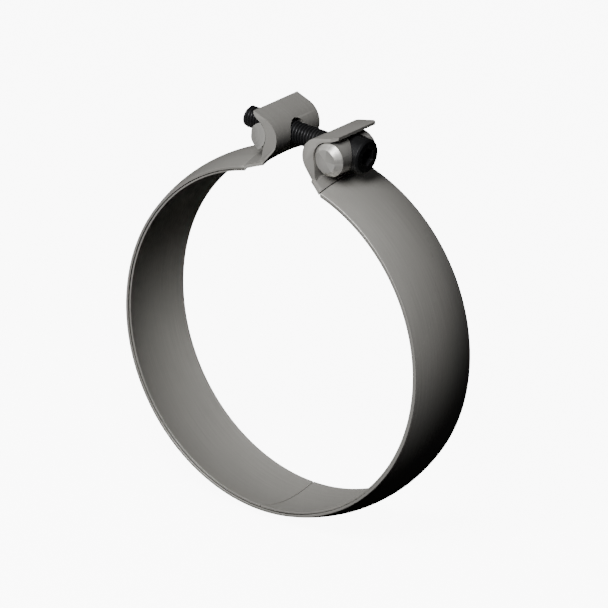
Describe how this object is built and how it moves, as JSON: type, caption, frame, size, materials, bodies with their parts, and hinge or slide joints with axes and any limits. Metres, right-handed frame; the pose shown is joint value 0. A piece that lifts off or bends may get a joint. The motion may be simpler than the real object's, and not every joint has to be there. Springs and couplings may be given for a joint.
{
  "type": "pipe repair clamp",
  "caption": "Steel band clamp for a pipe: a wide band crowned across its width, with an inner layer, hooked ends, a round cross bar, a half-round nut and a socket-head screw that draws the ends together.",
  "frame": {"origin": "centre of the pipe that the band closes on, midway across the band's width", "axes": "+Y along the pipe's axis, +X along the screw towards its head, +Z from the pipe's centre up through the gap in the band"},
  "size_m": [0.135, 0.032, 0.1505],
  "materials": {
    "satin_steel": "satin",
    "inner_steel": "satin",
    "formed_steel": "satin",
    "turned_steel": "turned",
    "black_steel": "black oxide"
  },
  "bodies": {
    "left_half": {"left_strap": "satin_steel", "left_inner_strap": "inner_steel", "left_hook": "formed_steel"},
    "right_half": {"right_strap": "satin_steel", "right_inner_strap": "inner_steel", "right_hook": "formed_steel"},
    "nut": {"nut_trunnion": "turned_steel"},
    "head_bar": {"head_trunnion": "turned_steel"},
    "screw": {"cap_screw": "black_steel"}
  },
  "joints": [
    {"name": "nut_pivot", "type": "hinge", "parent": "left_half", "child": "nut", "pos_m": [-0.0172, 0, 0.074], "axis": [0, -1, 0], "range_deg": [-1.54, 2.06]},
    {"name": "band_flex", "type": "hinge", "parent": "left_half", "child": "right_half", "pos_m": [0, 0, -0.0656], "axis": [0, -1, 0], "range_deg": [-3.09, 4.12]},
    {"name": "head_bar_pivot", "type": "hinge", "parent": "right_half", "child": "head_bar", "pos_m": [0.0172, 0, 0.074], "axis": [0, 1, 0], "range_deg": [-1.54, 2.06]},
    {"name": "screw_turn", "type": "hinge", "parent": "head_bar", "child": "screw", "pos_m": [0.0172, 0, 0.074], "axis": [-1, 0, 0], "range_deg": [-2160, 2880]}
  ],
  "couplings": [
    {"joint": "nut_pivot", "follows": "screw_turn", "ratio": 0.00071254},
    {"joint": "band_flex", "follows": "screw_turn", "ratio": 0.0014251},
    {"joint": "head_bar_pivot", "follows": "screw_turn", "ratio": 0.00071254}
  ]
}
